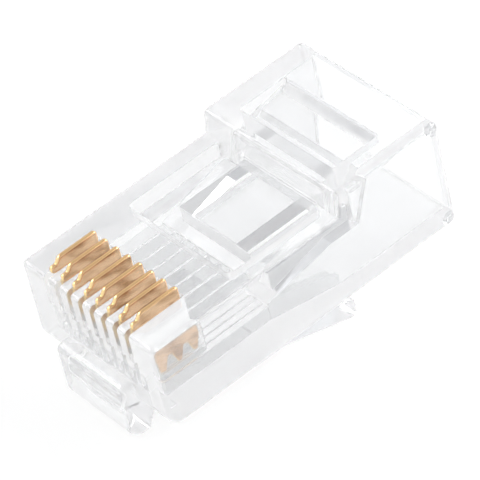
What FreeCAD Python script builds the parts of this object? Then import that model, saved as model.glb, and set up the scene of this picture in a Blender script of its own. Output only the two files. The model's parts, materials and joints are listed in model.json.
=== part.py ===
"""Eight-way modular plug: clear housing, latch lever, eight contact blades and two cable clamps.

Every piece is drawn in the plug's own axes: X across the width, Y from the nose face to the cable entry,
Z up from the flat underside. The finished pieces are then tipped together, nose down, the way a loose plug
lies on a table: on the chin under its nose and on the tip of its latch tab.
"""
import FreeCAD, Part
import os
import re
import Sketcher

Vector = FreeCAD.Vector

SIZES = [
    # outer shell
    ("body_width", 11.68, "across the flat sides"),
    ("body_length", 21.46, "nose face to cable entry"),
    ("front_height", 6.00, "underside to the contact face"),
    ("rear_height", 7.55, "underside to the top of the rear shoulder"),
    ("shoulder_foot", 13.55, "nose face to the foot of the rear shoulder"),
    ("shoulder_lean", 0.25, "how far the shoulder leans back"),
    ("side_round", 0.35, "rounding round both flat sides"),
    ("nose_round", 1.00, "rounding under the nose"),
    ("crest_round", 0.30, "rounding along the top of the nose"),
    ("rear_round", 0.45, "rounding round the cable entry's outer edge"),
    # chin that carries the latch
    ("latch_width", 6.02, "chin, hinge and locking wings"),
    ("chin_reach", 0.95, "chin ahead of the nose face"),
    ("chin_top", 1.95, "top of the chin above the underside"),
    ("chin_depth", 2.05, "bottom of the chin below the underside"),
    ("chin_back", 0.40, "rear of the chin's flat behind the nose face"),
    ("chin_heel_round", 0.25, "rear lower rounding of the chin"),
    ("chin_root", 0.45, "how deep the chin runs into the shell"),
    ("chin_round", 0.90, "front lower rounding of the chin"),
    ("chin_crest_round", 0.50, "front upper rounding of the chin"),
    ("chin_side_round", 0.40, "rounding round both ends of the chin"),
    # latch hinge
    ("hinge_y", 1.30, "hinge axis behind the nose face"),
    ("hinge_drop", 0.50, "hinge axis below the underside"),
    ("barrel_radius", 0.50, "rounded root of the latch lever"),
    ("hinge_gap", 0.05, "clearance round the rounded root"),
    ("hinge_side_gap", 0.10, "clearance at each end of the rounded root"),
    # latch lever
    ("wing_rear", 8.40, "locking faces behind the nose face"),
    ("wing_rise", 1.10, "gap between wings and underside, at the front"),
    ("wing_rear_rise", 1.50, "the same gap at the locking faces"),
    ("wing_depth", 2.40, "bottom of the wings below the underside, at the heel"),
    ("wing_rear_depth", 2.95, "bottom of the locking faces below the underside"),
    ("wing_front", 4.60, "front end of the wings' flat top"),
    ("wing_heel", 2.60, "front end of the wings' flat bottom"),
    ("wing_round", 0.15, "rounding of the wings' rear lower edge"),
    ("heel_round", 0.50, "rounding at the front of the wings"),
    ("neck_y", 1.75, "thinnest place of the latch root"),
    ("neck_depth", 1.30, "bottom of the latch root there"),
    ("tab_width", 3.25, "finger tab"),
    ("tab_tip", 16.30, "end of the tab behind the nose face"),
    ("tab_drop", 4.80, "top of the tab's end below the underside"),
    ("tab_thickness", 1.40, "height of the tab's end face"),
    ("tab_root", 1.95, "bottom of the tab at the heel"),
    ("flare_width", 0.75, "how far the tab flares out each side at the locking faces"),
    ("flare_length", 2.80, "length of the flare behind the locking faces"),
    ("flare_round", 3.00, "concave rounding at the end of the flare"),
    ("tip_round", 0.45, "rounding of the tab's end"),
    ("lever_side_round", 0.15, "rounding along the tab"),
    # contacts and their slots
    ("contact_pitch", 1.02, "contact to contact"),
    ("blade_thickness", 0.30, "sheet thickness"),
    ("slot_gap", 0.04, "clearance on each face of a blade"),
    ("blade_top", 6.80, "crown above the underside, before crimping"),
    ("blade_rear", 3.85, "rear edge behind the nose face"),
    ("blade_rear_round", 0.20, "rear corner of the crown"),
    ("crown_front", 1.15, "front of the crown behind the nose face"),
    ("crown_round", 0.38, "front corner of the crown"),
    ("crown_height", 0.38, "crown above the toe"),
    ("toe_reach", 0.70, "toe ahead of the crown"),
    ("toe_height", 0.50, "height of the toe"),
    ("toe_round", 0.22, "rounding of the toe"),
    ("toe_relief", 0.25, "front edge under the toe set back"),
    ("tine_length", 0.90, "length of the tines"),
    ("tine_width", 0.85, "width of a tine at its root"),
    ("tine_tip", 0.25, "width of a tine at its tip"),
    ("tine_rest", 0.10, "tine tips above the channel floor, once crimped"),
    ("crimp_travel", 1.30, "how far crimping drives a blade down"),
    ("slot_rear_gap", 0.20, "clearance behind a blade"),
    ("slot_front_gap", 0.10, "clearance ahead of a toe"),
    ("slot_sill", 3.90, "sill of the slots in the nose face"),
    # conductor channels
    ("channel_width", 0.86, "one conductor's channel"),
    ("channel_floor", 1.55, "channel floor above the underside"),
    ("channel_height", 0.95, "height of a channel"),
    ("channel_nose", 0.90, "blind end behind the nose face"),
    ("channel_runout", 0.05, "how far a channel runs on into the funnel"),
    # cable cavity
    ("throat_y", 8.40, "front of the funnel, where the channels begin"),
    ("throat_height", 1.15, "height of the funnel's front end"),
    ("throat_width", 8.10, "width of the funnel's front end"),
    ("chamber_front", 13.20, "front of the jacket chamber"),
    ("chamber_width", 9.20, "cable entry"),
    ("chamber_floor", 0.90, "floor thickness"),
    ("chamber_step", 3.95, "low ceiling at the front of the chamber"),
    ("chamber_rise", 15.30, "where the ceiling starts to rise"),
    ("chamber_full", 16.40, "where the ceiling reaches its full height"),
    ("chamber_ceiling", 6.55, "ceiling above the underside"),
    ("mouth_bevel", 0.25, "lead-in round the cable entry"),
    # recess and conductor clamp
    ("recess_width", 8.90, "recess ahead of the shoulder"),
    ("recess_front", 6.75, "front of the recess behind the nose face"),
    ("recess_floor", 4.90, "floor of the recess above the underside"),
    ("recess_round", 0.40, "corners of the recess"),
    ("clamp_gap", 0.05, "clearance at the hinge end of each clamp"),
    ("tongue_width", 3.75, "conductor clamp"),
    ("tongue_front", 9.25, "hinge end of the conductor clamp"),
    ("tongue_rear", 15.00, "free end of the conductor clamp"),
    ("tongue_thickness", 1.00, "conductor clamp"),
    ("tongue_round", 0.20, "rounding of the conductor clamp's free end"),
    ("tongue_swing", 18.00, "how far crimping swings the conductor clamp down, in degrees"),
    ("slit_width", 1.20, "slit along each side of the conductor clamp"),
    ("slit_rear_gap", 0.25, "slit behind the conductor clamp"),
    ("bridge_gap", 0.10, "clearance between conductor clamp and shoulder bridge"),
    # window and jacket clamp
    ("window_width", 8.00, "window in the shoulder"),
    ("window_front", 15.15, "front of the window behind the nose face"),
    ("window_rear", 18.60, "rear of the window behind the nose face"),
    ("window_round", 0.15, "corners of the window"),
    ("window_side_gap", 0.10, "clearance at each side of the jacket clamp"),
    ("window_front_gap", 0.15, "clearance ahead of the jacket clamp"),
    ("flap_top", 7.30, "top of the jacket clamp's hinge end"),
    ("flap_thickness", 0.80, "jacket clamp"),
    ("flap_fall", 0.60, "how far the jacket clamp slopes down forward"),
    ("flap_tooth", 0.35, "gripping edge under the jacket clamp's front"),
    ("flap_tooth_width", 0.90, "length of that edge along the plug"),
    ("flap_round", 0.12, "rounding of the jacket clamp's free end"),
    ("flap_swing", 28.00, "how far crimping swings the jacket clamp down, in degrees"),
]

CONTACTS = 8
TINES = 3
FLATNESS = 1e-4

doc = FreeCAD.newDocument("modular_plug")
sheet = doc.addObject("Spreadsheet::Sheet", "Sizes")


def fill_sheet():
    """Write each driving size as name, value and note, and give its cell the name as alias."""
    for row, (alias, value, note) in enumerate(SIZES, start=1):
        sheet.set(f"A{row}", alias)
        sheet.set(f"B{row}", str(value))
        sheet.set(f"C{row}", note)
        sheet.setAlias(f"B{row}", alias)
    doc.recompute()


def value(formula):
    """Return a formula of sheet aliases as a number."""
    return float(sheet.evalExpression(str(formula)))


def bound(formula):
    """Return the formula with each alias pointing at the sheet, for use in another object."""
    return re.sub(r"\b([a-z]+(?:_[a-z]+)+)\b", r"Sizes.\1", str(formula))


def origin_plane(body, role):
    """Return the body's own origin plane or axis with this role."""
    return next(item for item in body.Origin.OriginFeatures if item.Role == role)


def new_body(name):
    """Return an empty body whose label names its file."""
    body = doc.addObject("PartDesign::Body", name)
    body.Label = name
    return body


def new_sketch(body, name, role, offset="0"):
    """Return a sketch on one of the body's origin planes, shifted along the plane's normal."""
    sketch = body.newObject("Sketcher::SketchObject", name)
    sketch.AttachmentSupport = (origin_plane(body, role), [""])
    sketch.MapMode = "FlatFace"
    sketch.setExpression("AttachmentOffset.Base.z", bound(offset))
    return sketch


def pin(sketch, kind, index, position, formula):
    """Dimension one point from the sketch's origin along X or Y."""
    number = sketch.addConstraint(Sketcher.Constraint(kind, index, position, value(formula)))
    sketch.setExpression(f"Constraints[{number}]", bound(formula))


def round_corner(sketch, before, after, corner, radius):
    """Round the corner between two lines with an arc whose radius follows its formula."""
    start = sketch.Geometry[before].StartPoint
    end = sketch.Geometry[after].EndPoint
    size = value(radius)
    near_start = corner + (start - corner).normalize() * size / 2
    near_end = corner + (end - corner).normalize() * size / 2
    sketch.fillet(before, after, near_start, near_end, size, True, True)
    arc = max(i for i, item in enumerate(sketch.Geometry) if isinstance(item, Part.ArcOfCircle))
    number = sketch.addConstraint(Sketcher.Constraint("Radius", arc, size))
    sketch.setExpression(f"Constraints[{number}]", bound(radius))


def outline(body, name, role, corners, offset="0"):
    """Draw a closed outline. Each corner is (x, y) or (x, y, radius), all formulas of sizes."""
    sketch = new_sketch(body, name, role, offset)
    points = [Vector(value(corner[0]), value(corner[1]), 0) for corner in corners]
    count = len(points)
    for index, point in enumerate(points):
        sketch.addGeometry(Part.LineSegment(point, points[(index + 1) % count]), False)
    for index in range(count):
        sketch.addConstraint(Sketcher.Constraint("Coincident", index, 2, (index + 1) % count, 1))
    for index, corner in enumerate(corners):
        pin(sketch, "DistanceX", index, 1, corner[0])
        pin(sketch, "DistanceY", index, 1, corner[1])
    for index, corner in enumerate(corners):
        if len(corner) == 3:
            round_corner(sketch, (index - 1) % count, index, points[index], corner[2])
    doc.recompute()
    return sketch


def circle(body, name, role, centre, radius):
    """Draw a circle from formulas of sizes."""
    sketch = new_sketch(body, name, role)
    middle = Vector(value(centre[0]), value(centre[1]), 0)
    sketch.addGeometry(Part.Circle(middle, Vector(0, 0, 1), value(radius)), False)
    pin(sketch, "DistanceX", 0, 3, centre[0])
    pin(sketch, "DistanceY", 0, 3, centre[1])
    number = sketch.addConstraint(Sketcher.Constraint("Radius", 0, value(radius)))
    sketch.setExpression(f"Constraints[{number}]", bound(radius))
    doc.recompute()
    return sketch


def across(body, kind, name, sketch, width):
    """Pad or pocket a side-view sketch by half the width each way from its plane."""
    feature = body.newObject(f"PartDesign::{kind}", name)
    feature.Profile = sketch
    feature.SideType = "Symmetric"
    feature.setExpression("Length", bound(width))
    doc.recompute()
    return feature


def downward(body, name, sketch, depth):
    """Pocket a plan-view sketch straight down by the depth."""
    before = body.Shape.Volume
    feature = body.newObject("PartDesign::Pocket", name)
    feature.Profile = sketch
    feature.setExpression("Length", bound(depth))
    doc.recompute()
    if body.Shape.Volume >= before:
        raise RuntimeError(f"{name} cuts nothing")
    return feature


def rectangle(half_width, front, rear, radius=None):
    """Return the corners of a plan-view rectangle centred across the plug."""
    corners = [(f"-({half_width})", front), (half_width, front), (half_width, rear), (f"-({half_width})", rear)]
    if radius is None:
        return corners
    return [corner + (radius,) for corner in corners]


def edges_in_planes(shape, axis, offsets, keep=lambda box: True):
    """Name the edges that lie wholly in a plane axis = offset and pass the test on their box."""
    names = []
    for index, edge in enumerate(shape.Edges, start=1):
        box = edge.BoundBox
        ends = getattr(box, f"{axis}Min"), getattr(box, f"{axis}Max")
        flat = any(abs(ends[0] - offset) < FLATNESS and abs(ends[1] - offset) < FLATNESS for offset in offsets)
        if flat and keep(box):
            names.append(f"Edge{index}")
    return names


def soften(body, kind, name, base, edges, size):
    """Fillet or chamfer the named edges of the last feature."""
    feature = body.newObject(f"PartDesign::{kind}", name)
    feature.Base = (base, edges)
    feature.setExpression("Radius" if kind == "Fillet" else "Size", bound(size))
    doc.recompute()
    return feature


def shell_block(body):
    """Outer block of the housing: flat underside, low contact face, raised shoulder at the rear."""
    side = outline(body, "shell_side", "YZ_Plane", [
        ("0", "0", "nose_round"),
        ("body_length", "0", "rear_round"),
        ("body_length", "rear_height", "rear_round"),
        ("shoulder_foot + shoulder_lean", "rear_height", "crest_round"),
        ("shoulder_foot", "front_height"),
        ("0", "front_height", "crest_round"),
    ])
    block = across(body, "Pad", "shell_block", side, "body_width")
    half = value("body_width / 2")
    rim = edges_in_planes(block.Shape, "X", (-half, half))
    soften(body, "Fillet", "shell_sides", block, rim, "side_round")


def chin(body):
    """Rounded bar across the nose that carries the latch, with a hollow behind it for the hinge."""
    side = outline(body, "chin_side", "YZ_Plane", [
        ("-chin_reach", "chin_top", "chin_crest_round"),
        ("-chin_reach", "-chin_depth", "chin_round"),
        ("chin_back", "-chin_depth", "chin_heel_round"),
        ("hinge_y", "-hinge_drop"),
        ("hinge_y", "chin_root"),
        ("chin_root", "chin_top"),
    ])
    bar = across(body, "Pad", "chin_bar", side, "latch_width")
    half = value("latch_width / 2")
    ahead = edges_in_planes(bar.Shape, "X", (-half, half), lambda box: min(box.YMin, box.ZMax) < -FLATNESS)
    soften(body, "Fillet", "chin_ends", bar, ahead, "chin_side_round")
    seat = circle(body, "hinge_seat_side", "YZ_Plane", ("hinge_y", "-hinge_drop"), "barrel_radius + hinge_gap")
    across(body, "Pocket", "hinge_seat", seat, "latch_width + 2 * hinge_side_gap")


def cable_cavity(body):
    """Open chamber for the cable jacket that narrows to the throat where the conductors fan out."""
    side = outline(body, "chamber_side", "YZ_Plane", [
        ("body_length + mouth_bevel", "chamber_floor"),
        ("body_length + mouth_bevel", "chamber_ceiling"),
        ("chamber_full", "chamber_ceiling"),
        ("chamber_rise", "chamber_step"),
        ("chamber_front", "chamber_step"),
        ("chamber_front", "chamber_floor"),
    ])
    chamber = across(body, "Pocket", "jacket_chamber", side, "chamber_width")
    inside = value("chamber_width / 2") + FLATNESS
    mouth = edges_in_planes(chamber.Shape, "Y", [value("body_length")],
                            lambda box: max(-box.XMin, box.XMax) < inside
                            and box.ZMin > value("chamber_floor") - FLATNESS
                            and box.ZMax < value("chamber_ceiling") + FLATNESS)
    soften(body, "Chamfer", "mouth_lead_in", chamber, mouth, "mouth_bevel")
    wide = outline(body, "funnel_rear", "XZ_Plane", [
        ("-chamber_width / 2", "chamber_floor"),
        ("chamber_width / 2", "chamber_floor"),
        ("chamber_width / 2", "chamber_step"),
        ("-chamber_width / 2", "chamber_step"),
    ], "-chamber_front")
    narrow = outline(body, "funnel_front", "XZ_Plane", [
        ("-throat_width / 2", "channel_floor"),
        ("throat_width / 2", "channel_floor"),
        ("throat_width / 2", "channel_floor + throat_height"),
        ("-throat_width / 2", "channel_floor + throat_height"),
    ], "-throat_y")
    funnel = body.newObject("PartDesign::SubtractiveLoft", "conductor_funnel")
    funnel.Profile = wide
    funnel.Sections = [narrow]
    funnel.Ruled = True
    doc.recompute()


def contact_comb(body):
    """Row of blade slots, open at the top and the nose, each over its own conductor channel."""
    first = f"-contact_pitch * {CONTACTS - 1} / 2"
    slot = outline(body, "slot_side", "YZ_Plane", [
        ("-chin_reach", "slot_sill"),
        ("crown_front - toe_reach - slot_front_gap", "slot_sill"),
        ("crown_front - toe_reach - slot_front_gap", "channel_floor + channel_height / 2"),
        ("blade_rear + slot_rear_gap", "channel_floor + channel_height / 2"),
        ("blade_rear + slot_rear_gap", "blade_top"),
        ("-chin_reach", "blade_top"),
    ], first)
    slots = across(body, "Pocket", "blade_slot", slot, "blade_thickness + 2 * slot_gap")
    channel = outline(body, "channel_side", "YZ_Plane", [
        ("channel_nose", "channel_floor"),
        ("throat_y + channel_runout", "channel_floor"),
        ("throat_y + channel_runout", "channel_floor + channel_height"),
        ("channel_nose", "channel_floor + channel_height"),
    ], first)
    channels = across(body, "Pocket", "conductor_channel", channel, "channel_width")
    row = body.newObject("PartDesign::LinearPattern", "contact_row")
    row.Originals = [slots, channels]
    row.Direction = (origin_plane(body, "X_Axis"), [""])
    row.setExpression("Length", bound(f"contact_pitch * {CONTACTS - 1}"))
    row.Occurrences = CONTACTS
    body.Tip = row
    doc.recompute()


def clamp_openings(body):
    """Recess ahead of the shoulder, slit opening round the conductor clamp, and the shoulder's window."""
    recess = outline(body, "recess_plan", "XY_Plane",
                     rectangle("recess_width / 2", "recess_front", "shoulder_foot", "recess_round"), "front_height")
    downward(body, "recess", recess, "front_height - recess_floor")
    slits = outline(body, "slit_plan", "XY_Plane",
                    rectangle("tongue_width / 2 + slit_width", "tongue_front - clamp_gap",
                              "tongue_rear + slit_rear_gap"), "recess_floor + bridge_gap")
    downward(body, "slit_opening", slits,
             "recess_floor + bridge_gap - channel_floor - channel_height")
    window = outline(body, "window_plan", "XY_Plane",
                     rectangle("window_width / 2", "window_front", "window_rear", "window_round"), "rear_height")
    downward(body, "window", window, "rear_height - chamber_step + clamp_gap")


def housing():
    """Clear moulded housing with its chin, cavity, contact comb and clamp openings."""
    body = new_body("housing")
    shell_block(body)
    chin(body)
    cable_cavity(body)
    contact_comb(body)
    clamp_openings(body)
    return body


def latch_lever():
    """Latch: rounded root, locking wings parallel to the underside, and a sloping finger tab."""
    body = new_body("latch_lever")
    tab = outline(body, "tab_side", "YZ_Plane", [
        ("hinge_y", "barrel_radius - hinge_drop"),
        ("tab_tip", "-tab_drop", "tip_round"),
        ("tab_tip", "-tab_drop - tab_thickness", "tip_round"),
        ("wing_heel", "-tab_root"),
        ("hinge_y", "-hinge_drop"),
    ])
    finger = across(body, "Pad", "finger_tab", tab, "latch_width")
    flare_tip = "tab_width / 2 + flare_width"
    waste = outline(body, "tab_waste_plan", "XY_Plane", [
        ("tab_width / 2", "hinge_y - 2 * barrel_radius"),
        ("tab_width / 2", "wing_rear - flare_width"),
        (flare_tip, "wing_rear"),
        ("tab_width / 2", "wing_rear + flare_length", "flare_round"),
        ("tab_width / 2", "tab_tip + flare_width"),
        ("latch_width", "tab_tip + flare_width"),
        ("latch_width", "hinge_y - 2 * barrel_radius"),
    ])
    trim = downward(body, "tab_waste", waste, "tab_drop + tab_thickness + barrel_radius")
    trims = body.newObject("PartDesign::Mirrored", "tab_trim")
    trims.Originals = [trim]
    trims.MirrorPlane = (origin_plane(body, "YZ_Plane"), [""])
    body.Tip = trims
    doc.recompute()
    half = value("tab_width / 2")
    behind = value("wing_rear + flare_length")
    sides = edges_in_planes(trims.Shape, "X", (-half, half), lambda box: box.YMin > behind)
    soften(body, "Fillet", "tab_sides", trims, sides, "lever_side_round")
    wings = outline(body, "wing_side", "YZ_Plane", [
        ("hinge_y", "barrel_radius - hinge_drop"),
        ("wing_front", "-wing_rise"),
        ("wing_rear", "-wing_rear_rise"),
        ("wing_rear", "-wing_rear_depth", "wing_round"),
        ("wing_heel", "-wing_depth", "heel_round"),
        ("neck_y", "-neck_depth"),
        ("hinge_y", "-barrel_radius - hinge_drop"),
    ])
    across(body, "Pad", "wings", wings, "latch_width")
    root = circle(body, "root_side", "YZ_Plane", ("hinge_y", "-hinge_drop"), "barrel_radius")
    across(body, "Pad", "root_barrel", root, "latch_width")
    return body


def tine_corners():
    """Return the corners of the piercing tines, front to rear, along the lower edge of a blade."""
    root = "channel_floor + tine_rest + crimp_travel + tine_length"
    tip = "channel_floor + tine_rest + crimp_travel"
    front = "crown_front - toe_reach + toe_relief"
    step = f"(blade_rear - ({front}) - tine_width) / {TINES - 1}"
    corners = []
    for number in range(TINES):
        start = f"{front} + {number} * {step}"
        inset = "(tine_width - tine_tip) / 2"
        corners.append((start, root))
        corners.append((f"{start} + {inset}", tip))
        corners.append((f"{start} + tine_width - {inset}", tip))
        corners.append((f"{start} + tine_width", root))
    return corners


def contact(number):
    """Stamped contact blade with a crown, a rounded toe ahead of it and piercing tines below."""
    body = new_body(f"contact_{number}")
    crown_foot = "blade_top - crown_height"
    front = "crown_front - toe_reach"
    side = outline(body, f"blade_side_{number}", "YZ_Plane", tine_corners() + [
        ("blade_rear", "blade_top", "blade_rear_round"),
        ("crown_front", "blade_top", "crown_round"),
        ("crown_front - toe_relief", crown_foot, "toe_round / 2"),
        (front, crown_foot, "toe_round"),
        (front, f"{crown_foot} - toe_height", "toe_round"),
        (f"{front} + toe_relief", f"{crown_foot} - toe_height"),
    ], f"contact_pitch * {number - (CONTACTS + 1) / 2}")
    across(body, "Pad", f"blade_{number}", side, "blade_thickness")
    return body


def conductor_clamp():
    """Tongue between the two slits, pressed down on the conductors when the plug is crimped.

    It swings about the top edge of its hinge end, which is undercut by the angle of the swing.
    """
    body = new_body("conductor_clamp")
    lower = "recess_floor - tongue_thickness"
    side = outline(body, "tongue_side", "YZ_Plane", [
        ("tongue_front", "recess_floor"),
        ("tongue_front + tongue_thickness * tan(tongue_swing)", lower),
        ("tongue_rear", lower, "tongue_round"),
        ("tongue_rear", "recess_floor", "tongue_round"),
    ])
    across(body, "Pad", "tongue", side, "tongue_width")
    return body


def jacket_clamp():
    """Flap in the shoulder's window with a gripping edge that bites the cable's jacket.

    It swings about the top edge of its rear end, which is undercut by the angle of the swing.
    """
    body = new_body("jacket_clamp")
    rear = "window_rear - clamp_gap"
    front = "window_front + window_front_gap"
    side = outline(body, "flap_side", "YZ_Plane", [
        (rear, "flap_top"),
        (front, "flap_top - flap_fall", "flap_round"),
        (front, "flap_top - flap_fall - flap_thickness", "flap_round"),
        (f"{front} + flap_tooth_width", "flap_top - flap_fall - flap_thickness", "flap_round"),
        (f"{front} + flap_tooth_width + flap_tooth", "flap_top - flap_thickness"),
        (f"{rear} - flap_thickness * tan(flap_swing)", "flap_top - flap_thickness"),
    ])
    across(body, "Pad", "flap", side, "window_width - 2 * window_side_gap")
    return body


def lowest(shape, pitch):
    """Return the height of the shape's lowest point when it is tipped nose down by the pitch."""
    tipped = shape.copy()
    tipped.rotate(Vector(0, 0, 0), Vector(1, 0, 0), pitch)
    return tipped.optimalBoundingBox(False, False).ZMin


def resting_pitch(chin_shape, tab_shape):
    """Find the nose-down pitch at which the chin and the tab's tip touch the same level surface."""
    low, high = 0.0, 45.0
    while high - low > 1e-4:
        middle = (low + high) / 2
        if lowest(tab_shape, middle) < lowest(chin_shape, middle):
            low = middle
        else:
            high = middle
    return (low + high) / 2


def settle(bodies):
    """Tip every piece by the resting pitch, stand the plug on Z = 0 and centre its box on the origin."""
    pitch = resting_pitch(doc.getObject("chin_bar").Shape, doc.getObject("latch_lever").Shape)
    turn = FreeCAD.Rotation(Vector(1, 0, 0), pitch)
    box = FreeCAD.BoundBox()
    for body in bodies:
        body.Placement = FreeCAD.Placement(Vector(0, 0, 0), turn)
        box.add(body.Shape.optimalBoundingBox(False, False))
    shift = Vector(0, -(box.YMin + box.YMax) / 2, -box.ZMin)
    for body in bodies:
        body.Placement = FreeCAD.Placement(shift, turn)
    doc.recompute()
    print(f"pitch {pitch:.4f} deg, shift {shift.y:.5f} {shift.z:.5f} mm")
    print(f"box {box.XLength:.3f} x {box.YLength:.3f} x {box.ZLength:.3f} mm")


def check(bodies):
    """Stop if any object failed or any piece is not one valid solid."""
    for item in doc.Objects:
        if {"Invalid", "Error"} & set(item.State):
            raise RuntimeError(f"{item.Name} failed: {item.State}")
    for body in bodies:
        shape = body.Shape
        if shape.isNull() or not shape.isValid() or len(shape.Solids) != 1:
            raise RuntimeError(f"{body.Label} is not one valid solid")


def export(bodies):
    """Write each piece to its own STEP file."""
    os.makedirs("parts", exist_ok=True)
    for body in bodies:
        body.Shape.exportStep(f"parts/{body.Label}.step")


fill_sheet()
pieces = [housing(), latch_lever()]
pieces += [contact(number) for number in range(1, CONTACTS + 1)]
pieces += [conductor_clamp(), jacket_clamp()]
settle(pieces)
check(pieces)
export(pieces)
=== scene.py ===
"""Looks of a clear eight-way modular plug: moulded shell, gold blades, pale studio.

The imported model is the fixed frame. This script finishes its surfaces, puts smooth gold blades in
place of the plain ones, and adds the floor, the light and the camera. All lengths are in metres.
"""
import json
import math

import bpy
import numpy as np
from mathutils import Matrix, Vector


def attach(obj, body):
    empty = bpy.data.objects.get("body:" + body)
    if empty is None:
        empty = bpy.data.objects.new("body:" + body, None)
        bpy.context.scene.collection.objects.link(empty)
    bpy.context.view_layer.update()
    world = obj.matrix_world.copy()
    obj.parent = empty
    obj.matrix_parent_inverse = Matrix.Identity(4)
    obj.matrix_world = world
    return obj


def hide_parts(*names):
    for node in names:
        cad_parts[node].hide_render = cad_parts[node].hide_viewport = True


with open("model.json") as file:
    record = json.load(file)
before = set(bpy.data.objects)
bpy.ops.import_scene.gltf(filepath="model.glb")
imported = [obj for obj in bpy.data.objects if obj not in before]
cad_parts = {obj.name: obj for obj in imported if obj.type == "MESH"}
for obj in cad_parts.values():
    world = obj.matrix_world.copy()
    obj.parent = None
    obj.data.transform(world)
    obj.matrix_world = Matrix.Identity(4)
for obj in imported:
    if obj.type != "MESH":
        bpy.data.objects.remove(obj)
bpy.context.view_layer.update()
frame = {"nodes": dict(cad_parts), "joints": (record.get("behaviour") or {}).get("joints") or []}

bl_info = {
    "name": "Clear Modular Plug",
    "version": (1, 0, 0),
    "blender": (4, 5, 0),
    "location": "View3D > Sidebar > Plug",
    "description": "Finishes a clear eight-way modular plug and sets up its studio",
    "category": "Object",
}

MM = 0.001
CLEAR_NODES = ("housing", "latch_lever", "conductor_clamp", "jacket_clamp")
CONTACTS = sorted(name for name in frame["nodes"] if name.startswith("contact_"))
WHITE = (1.0, 1.0, 1.0, 1.0)

# the latch's hinge line in the plug's own axes, which ties those axes to the frame
LATCH_PIVOT = (0.0, 1.30 * MM, -0.50 * MM)

# where the slits' walls are in the plug's own axes: distance from the middle, behind the nose, height
# the slits' walls get painted shade: a grey in place of the plastic's tint
SLIT_ACROSS = (1.8 * MM, 3.2 * MM)
SLIT_ALONG = (9.1 * MM, 15.3 * MM)
SLIT_HEIGHT = (2.4 * MM, 4.95 * MM)

# corner radii of a blade, a tine's being a multiple of the rounding of its stamped edges
TINES = 3
TINE_CORNER = 1.05
REAR_CORNER = 0.20 * MM
CROWN_CORNER = 0.38 * MM
NECK_CORNER = 0.11 * MM
TOE_CORNER = 0.22 * MM

# points on each corner's arc, and rings across each rounded edge
ARC_STEPS = 6
EDGE_RINGS = 4

# noises: scale per metre, detail, and a scale along each axis, where less than 1 draws the noise out
CLOUD = (900.0, 3.0)
FLOW = (350.0, 1.0, (1.0, 0.25, 1.0))
STREAKS = (1900.0, 2.0, (1.0, 0.35, 1.0))

# flow marks of a finish: spread of the roughness, strength and depth of the bump
CLEAR_MARKS = (0.03, 0.12, 0.05 * MM)
GOLD_MARKS = (0.15, 0.10, 0.02 * MM)

# where a mask starts and where it is full: share of the normal across the plug, the same toward the
# rear for the painted highlight on faces toward the nose, and the noise that makes the streaks
FLAT_SIDE = (0.70, 0.98)
FRONT_HIGHLIGHT = (-0.45, -0.85)
STREAKED = (0.42, 0.72)

# rays that find how a soft edge turns the surface
EDGE_SAMPLES = 4

# a path with more reflections than this is given the inner light
FOLLOWED_REFLECTIONS = 1.5

# grey panels of the light tent: direction, angles of the soft edge in degrees, tone
TENT_PANELS = (
    ((0.0, 0.0, 1.0), 20.0, 45.0, 0.72),
    ((0.64, -0.54, 0.55), 10.0, 30.0, 0.55),
    ((-0.9, -0.3, 0.3), 12.0, 25.0, 0.25),
    ((0.3, 0.9, 0.35), 12.0, 25.0, 0.35),
)
TENT_COLOUR = (0.97, 0.985, 1.0, 1.0)
TENT_LIGHT = 0.45

# soft boxes: name, direction, distance and size in metres, power in watts
SOFT_BOXES = (
    ("key_box", (0.35, 0.75, 0.8), 0.45, 0.30, 2.0),
    ("fill_box", (-0.8, -0.6, 0.7), 0.50, 0.30, 1.0),
)

# half the floor's width in metres, its colour as light meets it, and what the camera sees of it: a
# shaded colour with a plain white light on top
FLOOR_HALF = 1.5
FLOOR_COLOUR = (0.80, 0.80, 0.80, 1.0)
FLOOR_SHADE = (0.20, 0.20, 0.20, 1.0)
FLOOR_WHITE = 0.86

# the camera's sensor in millimetres, and the nearest distance that it sees in metres
SENSOR = 36.0
NEAR = 0.01


# ---------------------------------------------------------------- sizes and colours

class ClearPlasticSettings(bpy.types.PropertyGroup):
    """Finish of the moulded polycarbonate, with painted shade on the slits' walls."""
    tint: bpy.props.FloatVectorProperty(
        name="Tint", description="Colour of the clear plastic",
        subtype="COLOR", size=4, min=0.0, max=1.0, default=(0.96, 0.963, 0.968, 1.0))
    glow: bpy.props.FloatVectorProperty(
        name="Inner light", description="Light that keeps going round inside the plastic",
        subtype="COLOR", size=4, min=0.0, max=1.0, default=(0.96, 0.96, 0.965, 1.0))
    edge: bpy.props.FloatProperty(
        name="Edge radius", description="Radius that a mould leaves on every sharp edge",
        subtype="DISTANCE", unit="LENGTH", default=0.08 * MM, min=0.0)
    clarity: bpy.props.FloatProperty(
        name="Clarity", description="Share of the light that crosses a surface unscattered",
        subtype="FACTOR", default=0.88, min=0.0, max=1.0)
    # painted shade: grey on the slits' walls that stands for the shade in the slits, not a colour of the
    # plastic
    slit_shade: bpy.props.FloatVectorProperty(
        name="Slit walls", description="Colour of the matt walls of the two slits",
        subtype="COLOR", size=4, min=0.0, max=1.0, default=(0.52, 0.525, 0.54, 1.0))
    refraction: bpy.props.FloatProperty(
        name="Refractive index", description="Index of the clear plastic",
        default=1.45, min=1.0, max=2.0)
    roughness: bpy.props.FloatProperty(
        name="Roughness", description="Roughness of the polished mould faces",
        subtype="FACTOR", default=0.05, min=0.0, max=1.0)


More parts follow.
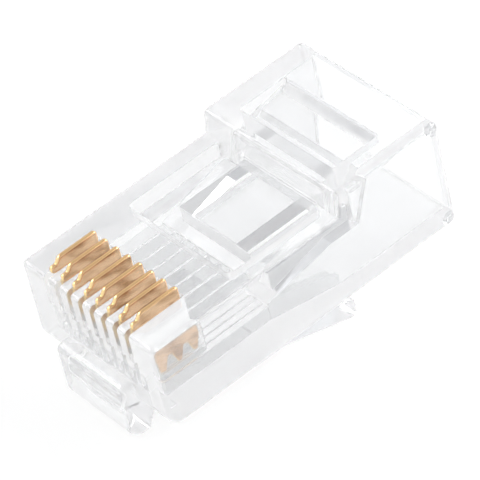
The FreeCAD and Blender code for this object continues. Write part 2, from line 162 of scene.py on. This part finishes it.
class BladeSettings(bpy.types.PropertyGroup):
    """Shape of one stamped contact blade, in the plug's own axes."""
    thickness: bpy.props.FloatProperty(
        name="Thickness", description="Sheet thickness", unit="LENGTH", default=0.30 * MM)
    pitch: bpy.props.FloatProperty(
        name="Pitch", description="Contact to contact", unit="LENGTH", default=1.02 * MM)
    edge: bpy.props.FloatProperty(
        name="Edge", description="Rounding of the stamped edges", unit="LENGTH", default=0.11 * MM)
    crown_top: bpy.props.FloatProperty(
        name="Crown top", description="Crown above the underside", unit="LENGTH", default=6.80 * MM)
    crown_front: bpy.props.FloatProperty(
        name="Crown front", description="Crown behind the nose face", unit="LENGTH", default=1.15 * MM)
    crown_height: bpy.props.FloatProperty(
        name="Crown height", description="Crown above the toe", unit="LENGTH", default=0.38 * MM)
    rear: bpy.props.FloatProperty(
        name="Rear edge", description="Rear edge behind the nose face", unit="LENGTH", default=3.85 * MM)
    toe_reach: bpy.props.FloatProperty(
        name="Toe reach", description="Toe ahead of the crown", unit="LENGTH", default=0.70 * MM)
    toe_height: bpy.props.FloatProperty(
        name="Toe height", description="Height of the toe", unit="LENGTH", default=0.50 * MM)
    toe_relief: bpy.props.FloatProperty(
        name="Toe relief", description="Front edge under the toe set back",
        unit="LENGTH", default=0.30 * MM)
    tine_base: bpy.props.FloatProperty(
        name="Tine base", description="Root of the tines above the underside",
        unit="LENGTH", default=3.85 * MM)
    tine_length: bpy.props.FloatProperty(
        name="Tine length", description="Length of the piercing tines", unit="LENGTH", default=0.90 * MM)
    tine_width: bpy.props.FloatProperty(
        name="Tine width", description="Width of a tine at its root", unit="LENGTH", default=0.85 * MM)
    tine_tip: bpy.props.FloatProperty(
        name="Tine tip", description="Width of a tine at its tip", unit="LENGTH", default=0.25 * MM)


class GoldSettings(bpy.types.PropertyGroup):
    """Finish of the gold-plated blades, with painted highlight and painted shade on their edges."""
    # painted highlight: edges that face the nose are coloured brighter, as if lit
    bright: bpy.props.FloatVectorProperty(
        name="Bright gold", description="Colour of the polished front edges",
        subtype="COLOR", size=4, min=0.0, max=1.0, default=(0.97, 0.74, 0.38, 1.0))
    # painted shade: edges that face elsewhere, such as the crown tops, are coloured darker
    shaded_gold: bpy.props.FloatVectorProperty(
        name="Crown gold", description="Colour of the crowns' upper edges",
        subtype="COLOR", size=4, min=0.0, max=1.0, default=(0.74, 0.49, 0.25, 1.0))
    warm: bpy.props.FloatVectorProperty(
        name="Warm gold", description="Colour of the stamped side faces",
        subtype="COLOR", size=4, min=0.0, max=1.0, default=(0.84, 0.59, 0.38, 1.0))
    streak: bpy.props.FloatVectorProperty(
        name="Streaks", description="Colour of the darker streaks along the side faces",
        subtype="COLOR", size=4, min=0.0, max=1.0, default=(0.42, 0.235, 0.115, 1.0))
    roughness: bpy.props.FloatProperty(
        name="Roughness", description="Roughness of the plating",
        subtype="FACTOR", default=0.22, min=0.0, max=1.0)


class StageSettings(bpy.types.PropertyGroup):
    """Place, aim and lens of the stage's camera."""
    azimuth: bpy.props.FloatProperty(
        name="Azimuth", default=49.817,
        description="Camera's direction round the plug, from the nose side towards +X, in degrees")
    elevation: bpy.props.FloatProperty(
        name="Elevation", description="Camera's height above the floor, in degrees", default=33.344)
    roll: bpy.props.FloatProperty(
        name="Roll", description="Camera's turn about its own axis, in degrees", default=0.579)
    distance: bpy.props.FloatProperty(
        name="Distance", description="Camera to the point that it looks at",
        subtype="DISTANCE", unit="LENGTH", default=0.23451)
    aim: bpy.props.FloatVectorProperty(
        name="Aim", description="Point that the camera looks at", subtype="XYZ", unit="LENGTH", size=3,
        default=(0.000392, -0.000393, 0.00791))
    lens: bpy.props.FloatProperty(
        name="Lens", description="Focal length in millimetres on a 36 mm sensor", default=314.18)


def settings():
    """Return the scene, which holds this plug's settings."""
    return bpy.context.scene


# ---------------------------------------------------------------- surfaces

def plug_axes():
    """Matrix from the plug's own axes, X across, Y rearward from the nose and Z up, to the frame.

    Crimping drives the blades along the plug's own down direction, which gives the pitch at which it
    lies, and the latch's pivot, whose place in the plug is known, gives the origin.
    """
    joints = {joint["name"]: joint for joint in frame["joints"]}
    down = Vector(joints["crimp_1"]["axis"])
    turn = Matrix.Rotation(math.atan2(down.y, -down.z), 4, "X")
    pivot = Vector(joints["latch_flex"]["pos_m"])
    return Matrix.Translation(pivot - turn @ Vector(LATCH_PIVOT)) @ turn


def rounded_outline(corners, steps):
    """Closed outline whose corners are arcs. Returns its points and its outward unit normals.

    At a corner p with radius r, the arc's centre lies on the bisector of the two edges at r / sin(half
    the corner's angle) from p, and the arc runs between the feet of the centre on the two edges. The
    corners run anticlockwise, so a corner that turns right is hollow and its normals point to the centre.
    """
    corners = np.asarray(corners, dtype=float)
    p, r = corners[:, :2], corners[:, 2:3]
    to_last, to_next = np.roll(p, 1, axis=0) - p, np.roll(p, -1, axis=0) - p
    u = to_last / np.linalg.norm(to_last, axis=1, keepdims=True)
    v = to_next / np.linalg.norm(to_next, axis=1, keepdims=True)
    middle = (u + v) / np.linalg.norm(u + v, axis=1, keepdims=True)
    half = np.arccos(np.clip((u * v).sum(axis=1, keepdims=True), -1, 1)) / 2
    centre = p + middle * r / np.sin(half)
    foot = u * r / np.tan(half) + p - centre
    end = v * r / np.tan(half) + p - centre
    start = np.arctan2(foot[:, 1], foot[:, 0])
    sweep = np.angle(np.exp(1j * (np.arctan2(end[:, 1], end[:, 0]) - start)))
    angle = start[:, None] + sweep[:, None] * np.linspace(0, 1, steps)
    ray = np.stack([np.cos(angle), np.sin(angle)], axis=-1)
    points = centre[:, None] + r[:, :, None] * ray
    normals = ray * np.sign(sweep)[:, None, None]
    return points.reshape(-1, 2), normals.reshape(-1, 2)


def stamped_sheet(name, corners, middle, thickness, edge):
    """Stamped sheet part with soft edges, standing in the plug's YZ plane at X = middle.

    Surface: the outline carried across the thickness. At the edge angle a, from -90 to 90 degrees, the
    ring stands at +-(thickness / 2 - edge) + edge * sin(a) and is drawn in by edge * (1 - cos(a)).
    """
    points, normals = rounded_outline(corners, ARC_STEPS)
    turn = np.concatenate([np.linspace(-90, 0, EDGE_RINGS), np.linspace(0, 90, EDGE_RINGS)])
    turn = np.radians(turn)[:, None, None]
    side = np.repeat([-1.0, 1.0], EDGE_RINGS)[:, None, None]
    flat = points[None] - normals[None] * edge * (1 - np.cos(turn))
    across = middle + side * (thickness / 2 - edge) + edge * np.sin(turn)
    rings = np.concatenate([np.broadcast_to(across, flat.shape[:2] + (1,)), flat], axis=-1)
    count, around = rings.shape[:2]
    index = np.arange(count * around).reshape(count, around)
    low, high = index[:-1], index[1:]
    quads = np.stack([low, np.roll(low, -1, axis=1), np.roll(high, -1, axis=1), high], axis=-1)
    faces = quads.reshape(-1, 4).tolist() + [index[0][::-1].tolist(), index[-1].tolist()]
    mesh = bpy.data.meshes.new(name)
    mesh.from_pydata(rings.reshape(-1, 3).tolist(), [], faces)
    mesh.transform(plug_axes())
    mesh.shade_smooth()
    # the last two faces are the sheet's flat sides
    mesh.polygons[-1].use_smooth = False
    mesh.polygons[-2].use_smooth = False
    piece = bpy.data.objects.new(name, mesh)
    bpy.context.scene.collection.objects.link(piece)
    return piece


def blade_corners():
    """Corners (y, z, radius) of a blade: tines along the foot, then the rear, the crown and the toe."""
    blade = settings().plug_blade
    soft = blade.edge * TINE_CORNER
    front = blade.crown_front - blade.toe_reach
    tip = blade.tine_base - blade.tine_length
    inset = (blade.tine_width - blade.tine_tip) / 2
    first = front + blade.toe_relief
    step = (blade.rear - first - blade.tine_width) / (TINES - 1)
    corners = []
    for start in (first + step * number for number in range(TINES)):
        corners.append((start, blade.tine_base, soft))
        corners.append((start + inset, tip, soft))
        corners.append((start + blade.tine_width - inset, tip, soft))
        corners.append((start + blade.tine_width, blade.tine_base, soft))
    foot = blade.crown_top - blade.crown_height
    corners.append((blade.rear, blade.crown_top, REAR_CORNER))
    corners.append((blade.crown_front, blade.crown_top, CROWN_CORNER))
    corners.append((blade.crown_front - blade.toe_relief, foot, NECK_CORNER))
    corners.append((front, foot, TOE_CORNER))
    corners.append((front, foot - blade.toe_height, TOE_CORNER))
    corners.append((first, foot - blade.toe_height, soft))
    return corners


# ---------------------------------------------------------------- materials

def new_material(name):
    """Return an empty node material with a Principled shader joined to its output."""
    material = bpy.data.materials.new(name)
    material.use_nodes = True
    nodes = material.node_tree.nodes
    shader = nodes["Principled BSDF"]
    return material, nodes, material.node_tree.links, shader


def object_coordinates(nodes):
    """Return the Object output of a Texture Coordinate node."""
    return nodes.new("ShaderNodeTexCoord").outputs["Object"]


def feed(links, source, socket):
    """Give an input its value: a link from another node's output, or a plain number or colour."""
    if isinstance(source, bpy.types.NodeSocket):
        links.new(source, socket)
    else:
        socket.default_value = source


def maths(nodes, links, operation, *values):
    """Return a Math node's result for these numbers or outputs."""
    node = nodes.new("ShaderNodeMath")
    node.operation = operation
    for value, socket in zip(values, node.inputs):
        feed(links, value, socket)
    return node.outputs[0]


def ramp(nodes, links, value, low, high):
    """Return 0 at low and before it, 1 at high and past it, and a straight line between them."""
    node = nodes.new("ShaderNodeMapRange")
    node.inputs["From Min"].default_value = low
    node.inputs["From Max"].default_value = high
    links.new(value, node.inputs["Value"])
    return node.outputs["Result"]


def mix(nodes, links, kind, factor, first, second):
    """Return the first number or colour where the factor is 0 and the second where it is 1."""
    node = nodes.new("ShaderNodeMix")
    node.data_type = kind
    links.new(factor, node.inputs["Factor"])
    feed(links, first, node.inputs["A"])
    feed(links, second, node.inputs["B"])
    return node.outputs["Result"]


def noise(nodes, links, position, scale, detail, squeeze=None):
    """Return soft noise from 0 to 1, round 0.5. A squeeze below 1 draws it out along that axis."""
    if squeeze:
        place = nodes.new("ShaderNodeMapping")
        place.inputs["Scale"].default_value = squeeze
        links.new(position, place.inputs["Vector"])
        position = place.outputs["Vector"]
    node = nodes.new("ShaderNodeTexNoise")
    node.inputs["Scale"].default_value = scale
    node.inputs["Detail"].default_value = detail
    links.new(position, node.inputs["Vector"])
    return node.outputs["Fac"]


def moulding_haze_group():
    """Group: fine flow marks of a moulded face. Puts out a roughness and a bump height.

    Roughness = base + spread * (cloud - 0.5), where cloud is soft noise about a millimetre wide.
    Height is broader noise, drawn out along the plug, as molten plastic flows.
    """
    group = bpy.data.node_groups.new("moulding_haze", "ShaderNodeTree")
    face = group.interface
    face.new_socket("Position", in_out="INPUT", socket_type="NodeSocketVector")
    face.new_socket("Roughness", in_out="INPUT", socket_type="NodeSocketFloat")
    face.new_socket("Spread", in_out="INPUT", socket_type="NodeSocketFloat")
    face.new_socket("Roughness", in_out="OUTPUT", socket_type="NodeSocketFloat")
    face.new_socket("Height", in_out="OUTPUT", socket_type="NodeSocketFloat")
    nodes, links = group.nodes, group.links
    start = nodes.new("NodeGroupInput")
    end = nodes.new("NodeGroupOutput")
    position = start.outputs["Position"]
    cloud = noise(nodes, links, position, *CLOUD)
    centred = maths(nodes, links, "SUBTRACT", cloud, 0.5)
    rough = maths(nodes, links, "MULTIPLY_ADD", centred, start.outputs["Spread"], start.outputs["Roughness"])
    links.new(rough, end.inputs["Roughness"])
    links.new(noise(nodes, links, position, *FLOW), end.inputs["Height"])
    return group


def add_haze(nodes, links, haze, position, shader, roughness, finish):
    """Join the flow marks to a shader's roughness and normal, and return the bump node."""
    spread, strength, depth = finish
    marks = nodes.new("ShaderNodeGroup")
    marks.node_tree = haze
    marks.inputs["Roughness"].default_value = roughness
    marks.inputs["Spread"].default_value = spread
    links.new(position, marks.inputs["Position"])
    links.new(marks.outputs["Roughness"], shader.inputs["Roughness"])
    bump = nodes.new("ShaderNodeBump")
    bump.inputs["Strength"].default_value = strength
    bump.inputs["Distance"].default_value = depth
    links.new(marks.outputs["Height"], bump.inputs["Height"])
    links.new(bump.outputs["Normal"], shader.inputs["Normal"])
    return bump


def surface_normal(nodes, links):
    """Return a Separate XYZ node that holds the surface's normal."""
    split = nodes.new("ShaderNodeSeparateXYZ")
    links.new(nodes.new("ShaderNodeNewGeometry").outputs["Normal"], split.inputs[0])
    return split


def flat_side_mask(nodes, links):
    """Return 1 on faces that look across the plug, such as a blade's flat sides, and 0 on other faces."""
    across = maths(nodes, links, "ABSOLUTE", surface_normal(nodes, links).outputs["X"])
    return ramp(nodes, links, across, *FLAT_SIDE)


def highlight_mask(nodes, links):
    """Return 1 on faces that look toward the nose, 0 on faces that look up, and a ramp between them: where
    the painted highlight and the painted shade go.
    """
    return ramp(nodes, links, surface_normal(nodes, links).outputs["Y"], *FRONT_HIGHLIGHT)


def between(nodes, links, value, low, high):
    """Return 1 where the value lies between low and high, else 0."""
    return maths(nodes, links, "COMPARE", value, (low + high) / 2, (high - low) / 2)


def slit_shade_mask(nodes, links, position):
    """Return 1 on the upright walls of the two slits beside the conductor clamp, where shade is painted,
    else 0.
    """
    place = nodes.new("ShaderNodeMapping")
    to_plug = plug_axes().inverted()
    place.inputs["Location"].default_value = to_plug.translation
    place.inputs["Rotation"].default_value = to_plug.to_euler()
    links.new(position, place.inputs["Vector"])
    split = nodes.new("ShaderNodeSeparateXYZ")
    links.new(place.outputs["Vector"], split.inputs[0])
    mask = between(nodes, links, maths(nodes, links, "ABSOLUTE", split.outputs["X"]), *SLIT_ACROSS)
    along = between(nodes, links, split.outputs["Y"], *SLIT_ALONG)
    height = between(nodes, links, split.outputs["Z"], *SLIT_HEIGHT)
    for side in (along, height, flat_side_mask(nodes, links)):
        mask = maths(nodes, links, "MULTIPLY", mask, side)
    return mask


def clear_plastic(haze):
    """Clear polycarbonate: refracting, polished, a little milky, with soft edges, faint flow marks and
    painted shade in the slits.

    The renderer ends long reflected paths black. A path with more than FOLLOWED_REFLECTIONS reflections
    is given the plain inner light instead, which stands for the light that goes on round inside.
    """
    look = settings().plug_plastic
    material, nodes, links, shader = new_material("clear_polycarbonate")
    position = object_coordinates(nodes)
    # painted shade: the slits' walls take the grey shade colour in place of the tint
    walls = slit_shade_mask(nodes, links, position)
    colour = mix(nodes, links, "RGBA", walls, look.tint, look.slit_shade)
    links.new(colour, shader.inputs["Base Color"])
    shader.inputs["Transmission Weight"].default_value = look.clarity
    shader.inputs["IOR"].default_value = look.refraction
    bump = add_haze(nodes, links, haze, position, shader, look.roughness, CLEAR_MARKS)
    edges = nodes.new("ShaderNodeBevel")
    edges.samples = EDGE_SAMPLES
    edges.inputs["Radius"].default_value = look.edge
    links.new(edges.outputs["Normal"], bump.inputs["Normal"])
    reflections = nodes.new("ShaderNodeLightPath").outputs["Glossy Depth"]
    inner = nodes.new("ShaderNodeEmission")
    inner.inputs["Color"].default_value = look.glow
    choose = nodes.new("ShaderNodeMixShader")
    deep = maths(nodes, links, "GREATER_THAN", reflections, FOLLOWED_REFLECTIONS)
    links.new(deep, choose.inputs["Fac"])
    links.new(shader.outputs[0], choose.inputs[1])
    links.new(inner.outputs[0], choose.inputs[2])
    links.new(choose.outputs[0], nodes["Material Output"].inputs["Surface"])
    return material


def plated_gold(haze):
    """Gold plating: painted highlight on the front edges, painted shade on the crowns, streaked on the flat
    sides.
    """
    look = settings().plug_gold
    material, nodes, links, shader = new_material("plated_gold")
    shader.inputs["Metallic"].default_value = 1.0
    position = object_coordinates(nodes)
    streaks = ramp(nodes, links, noise(nodes, links, position, *STREAKS), *STREAKED)
    sides = mix(nodes, links, "RGBA", streaks, look.warm, look.streak)
    # painted highlight on the edges that face the nose, painted shade on the other edges
    edges = mix(nodes, links, "RGBA", highlight_mask(nodes, links), look.shaded_gold, look.bright)
    colour = mix(nodes, links, "RGBA", flat_side_mask(nodes, links), edges, sides)
    links.new(colour, shader.inputs["Base Color"])
    add_haze(nodes, links, haze, position, shader, look.roughness, GOLD_MARKS)
    return material


def paint(obj, material):
    """Give every material slot of the object this material."""
    if not obj.data.materials:
        obj.data.materials.append(material)
    for slot in obj.material_slots:
        slot.material = material


def shared_group(name, maker):
    """Return the node group with this name, made once."""
    return bpy.data.node_groups.get(name) or maker()


# ---------------------------------------------------------------- operators

class PLUG_OT_clear_parts(bpy.types.Operator):
    """Finish the housing, the latch and both clamps as clear plastic"""
    bl_idname = "plug.clear_parts"
    bl_label = "Clear parts"

    def execute(self, context):
        material = clear_plastic(shared_group("moulding_haze", moulding_haze_group))
        for name in CLEAR_NODES:
            paint(frame["nodes"][name], material)
        return {"FINISHED"}


class PLUG_OT_blades(bpy.types.Operator):
    """Put eight gold-plated blades with soft stamped edges in their slots"""
    bl_idname = "plug.blades"
    bl_label = "Blades"

    def execute(self, context):
        blade = settings().plug_blade
        gold = plated_gold(shared_group("moulding_haze", moulding_haze_group))
        for number, node in enumerate(CONTACTS):
            middle = blade.pitch * (number - (len(CONTACTS) - 1) / 2)
            name = f"blade_sheet_{number + 1}"
            piece = stamped_sheet(name, blade_corners(), middle, blade.thickness, blade.edge)
            paint(piece, gold)
            paint(frame["nodes"][node], gold)
            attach(piece, f"blade_{number + 1}")
            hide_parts(node)
        return {"FINISHED"}


# ---------------------------------------------------------------- stage

def seen_rays(nodes, links):
    """Return 1 for camera, glossy and transmission rays, else 0."""
    path = nodes.new("ShaderNodeLightPath").outputs
    first = maths(nodes, links, "MAXIMUM", path["Is Camera Ray"], path["Is Glossy Ray"])
    return maths(nodes, links, "MAXIMUM", first, path["Is Transmission Ray"])


def floor_material():
    """Pale floor: white where nothing shades it, and it keeps the plug's soft shadow."""
    material, nodes, links, shader = new_material("pale_floor")
    nodes.remove(shader)
    diffuse = nodes.new("ShaderNodeBsdfDiffuse")
    diffuse.inputs["Color"].default_value = FLOOR_COLOUR
    shaded = nodes.new("ShaderNodeBsdfDiffuse")
    shaded.inputs["Color"].default_value = FLOOR_SHADE
    glow = nodes.new("ShaderNodeEmission")
    glow.inputs["Color"].default_value = WHITE
    glow.inputs["Strength"].default_value = FLOOR_WHITE
    both = nodes.new("ShaderNodeAddShader")
    links.new(shaded.outputs[0], both.inputs[0])
    links.new(glow.outputs[0], both.inputs[1])
    choose = nodes.new("ShaderNodeMixShader")
    links.new(seen_rays(nodes, links), choose.inputs["Fac"])
    links.new(diffuse.outputs[0], choose.inputs[1])
    links.new(both.outputs[0], choose.inputs[2])
    links.new(choose.outputs[0], nodes["Material Output"].inputs["Surface"])
    return material


def camera_direction():
    """Unit vector from the aim point to the camera."""
    stage = settings().plug_stage
    azimuth, elevation = math.radians(stage.azimuth), math.radians(stage.elevation)
    return Vector((math.sin(azimuth) * math.cos(elevation),
                   -math.cos(azimuth) * math.cos(elevation),
                   math.sin(elevation)))


def panel_mask(nodes, links, position, direction, inner, outer):
    """Return 1 inside a round panel of the tent, inner and outer being its soft edge's angles, else 0."""
    dot = nodes.new("ShaderNodeVectorMath")
    dot.operation = "DOT_PRODUCT"
    dot.inputs[1].default_value = Vector(direction).normalized()
    links.new(position, dot.inputs[0])
    mask = nodes.new("ShaderNodeMapRange")
    mask.interpolation_type = "SMOOTHSTEP"
    mask.inputs["From Min"].default_value = math.cos(math.radians(outer))
    mask.inputs["From Max"].default_value = math.cos(math.radians(inner))
    links.new(dot.outputs["Value"], mask.inputs["Value"])
    return mask.outputs["Result"]


def white_tent():
    """World: a white light tent with a few grey panels, which clear plastic needs to show its edges."""
    world = bpy.data.worlds.new("white_tent")
    world.use_nodes = True
    nodes, links = world.node_tree.nodes, world.node_tree.links
    background = nodes["Background"]
    position = nodes.new("ShaderNodeTexCoord").outputs["Generated"]
    level = 1.0
    for direction, inner, outer, tone in TENT_PANELS:
        mask = panel_mask(nodes, links, position, direction, inner, outer)
        level = mix(nodes, links, "FLOAT", mask, level, tone)
    strength = mix(nodes, links, "FLOAT", seen_rays(nodes, links), TENT_LIGHT, level)
    links.new(strength, background.inputs["Strength"])
    background.inputs["Color"].default_value = TENT_COLOUR
    bpy.context.scene.world = world


def soft_box(name, direction, distance, size, power):
    """Square area light at a distance in a direction, facing the plug."""
    data = bpy.data.lights.new(name, "AREA")
    data.size = size
    data.energy = power
    lamp = bpy.data.objects.new(name, data)
    towards = Vector(direction).normalized()
    lamp.location = towards * distance
    lamp.rotation_euler = towards.to_track_quat("Z", "Y").to_euler()
    bpy.context.scene.collection.objects.link(lamp)


def studio_camera():
    """Long-lens camera that looks down on the plug from its nose and right side."""
    stage = settings().plug_stage
    data = bpy.data.cameras.new("camera")
    data.lens = stage.lens
    data.sensor_width = SENSOR
    data.clip_start = NEAR
    camera = bpy.data.objects.new("camera", data)
    towards = camera_direction()
    turn = towards.to_track_quat("Z", "Y").to_matrix().to_4x4()
    roll = Matrix.Rotation(math.radians(stage.roll), 4, "Z")
    place = Matrix.Translation(Vector(stage.aim) + towards * stage.distance)
    camera.matrix_world = place @ turn @ roll
    bpy.context.scene.collection.objects.link(camera)
    bpy.context.scene.camera = camera


def pale_floor():
    """Large flat floor at the height that the plug rests on."""
    corners = [(-FLOOR_HALF, -FLOOR_HALF, 0), (FLOOR_HALF, -FLOOR_HALF, 0),
               (FLOOR_HALF, FLOOR_HALF, 0), (-FLOOR_HALF, FLOOR_HALF, 0)]
    mesh = bpy.data.meshes.new("floor")
    mesh.from_pydata(corners, [], [(0, 1, 2, 3)])
    floor = bpy.data.objects.new("floor", mesh)
    bpy.context.scene.collection.objects.link(floor)
    paint(floor, floor_material())


class PLUG_OT_stage(bpy.types.Operator):
    """Add the pale floor, the light tent, the soft boxes and the camera"""
    bl_idname = "plug.stage"
    bl_label = "Stage"

    def execute(self, context):
        studio_camera()
        pale_floor()
        white_tent()
        for box in SOFT_BOXES:
            soft_box(*box)
        context.scene.view_settings.view_transform = "Standard"
        return {"FINISHED"}


class PLUG_PT_panel(bpy.types.Panel):
    """Sidebar panel with the plug's settings and steps"""
    bl_idname = "PLUG_PT_panel"
    bl_label = "Clear Modular Plug"
    bl_space_type = "VIEW_3D"
    bl_region_type = "UI"
    bl_category = "Plug"

    def draw(self, context):
        column = self.layout.column()
        for group in SETTINGS:
            for name in SETTINGS[group].__annotations__:
                column.prop(getattr(context.scene, group), name)
        for operator in OPERATORS:
            column.operator(operator.bl_idname)


SETTINGS = {"plug_plastic": ClearPlasticSettings, "plug_blade": BladeSettings,
            "plug_gold": GoldSettings, "plug_stage": StageSettings}
OPERATORS = (PLUG_OT_stage, PLUG_OT_clear_parts, PLUG_OT_blades)


def register():
    """Register the settings, the operators and the panel."""
    for name, group in SETTINGS.items():
        bpy.utils.register_class(group)
        setattr(bpy.types.Scene, name, bpy.props.PointerProperty(type=group))
    for operator in OPERATORS:
        bpy.utils.register_class(operator)
    bpy.utils.register_class(PLUG_PT_panel)


def unregister():
    """Undo register, last first."""
    bpy.utils.unregister_class(PLUG_PT_panel)
    for operator in reversed(OPERATORS):
        bpy.utils.unregister_class(operator)
    for name, group in reversed(SETTINGS.items()):
        delattr(bpy.types.Scene, name)
        bpy.utils.unregister_class(group)


def main():
    """Make every piece in order."""
    register()
    bpy.ops.plug.stage()
    bpy.ops.plug.clear_parts()
    bpy.ops.plug.blades()


if __name__ == "__main__":
    main()
